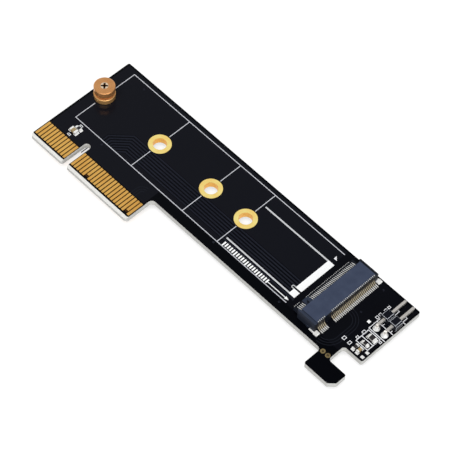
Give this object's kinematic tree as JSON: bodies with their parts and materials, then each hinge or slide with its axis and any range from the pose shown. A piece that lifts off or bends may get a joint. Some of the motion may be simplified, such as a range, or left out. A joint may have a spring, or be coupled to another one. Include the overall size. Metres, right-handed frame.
{
  "type": "nvme adapter card",
  "caption": "Flat adapter card with an edge tongue and retention hook, a low connector for a solid-state drive, a row of module holes with a standoff, and an angled header.",
  "frame": {"origin": "under the middle of the card's outline, at the height of its lowest point, the end of the standoff's stud", "axes": "+X along the board from the standoff to the drive connector, +Y across it away from the slot tongue, +Z out of the component side"},
  "size_m": [0.1, 0.0326, 0.008],
  "materials": {
    "solder_mask_board": "satin black solder mask over glass-epoxy laminate",
    "gold_plate": "thin gold over nickel and copper",
    "copper_alloy": "turned copper-coloured brass, lightly polished",
    "connector_plastic": "moulded blue-grey liquid-crystal polymer",
    "contact_metal": "tin over copper alloy, pale gold inside the slot",
    "tin": "bright tin and solder",
    "header_plastic": "black moulded nylon",
    "pin_metal": "tinned brass pin",
    "white_ink": "white screen print",
    "capacitor_ceramic": "fired brown ceramic",
    "resistor_ceramic": "black glazed ceramic"
  },
  "bodies": {
    "root": {"arrow_print": "white_ink", "bypass_capacitor_body": "capacitor_ceramic", "bypass_capacitor_caps": "tin", "bypass_resistor_body": "resistor_ceramic", "bypass_resistor_caps": "tin", "chip_pads": "tin", "chip_solder": "tin", "circuit_board": "solder_mask_board", "connector_housing": "connector_plastic", "connector_lower_contacts": "contact_metal", "connector_pads": "tin", "connector_tab_far": "tin", "connector_tab_near": "tin", "connector_upper_contacts": "contact_metal", "drive_outline_print": "white_ink", "edge_contacts_back": "gold_plate", "edge_contacts_front": "gold_plate", "header_hole_plating": "gold_plate", "header_insulator": "header_plastic", "header_pins": "pin_metal", "header_solder": "tin", "hole_plating_2230": "gold_plate", "hole_plating_2242": "gold_plate", "hole_plating_2260": "gold_plate", "hole_plating_2280": "gold_plate", "hook_vias": "gold_plate", "module_frame_print": "white_ink", "part_outline_prints": "white_ink", "pin_mark_print": "white_ink", "power_resistor_body": "resistor_ceramic", "power_resistor_caps": "tin", "signal_resistor_body": "resistor_ceramic", "signal_resistor_caps": "tin", "slot_capacitor_body": "capacitor_ceramic", "slot_capacitor_caps": "tin", "slot_resistor_body": "resistor_ceramic", "slot_resistor_caps": "tin", "standoff_nut": "copper_alloy", "standoff_post": "copper_alloy", "standoff_screw": "copper_alloy"}
  },
  "joints": []
}
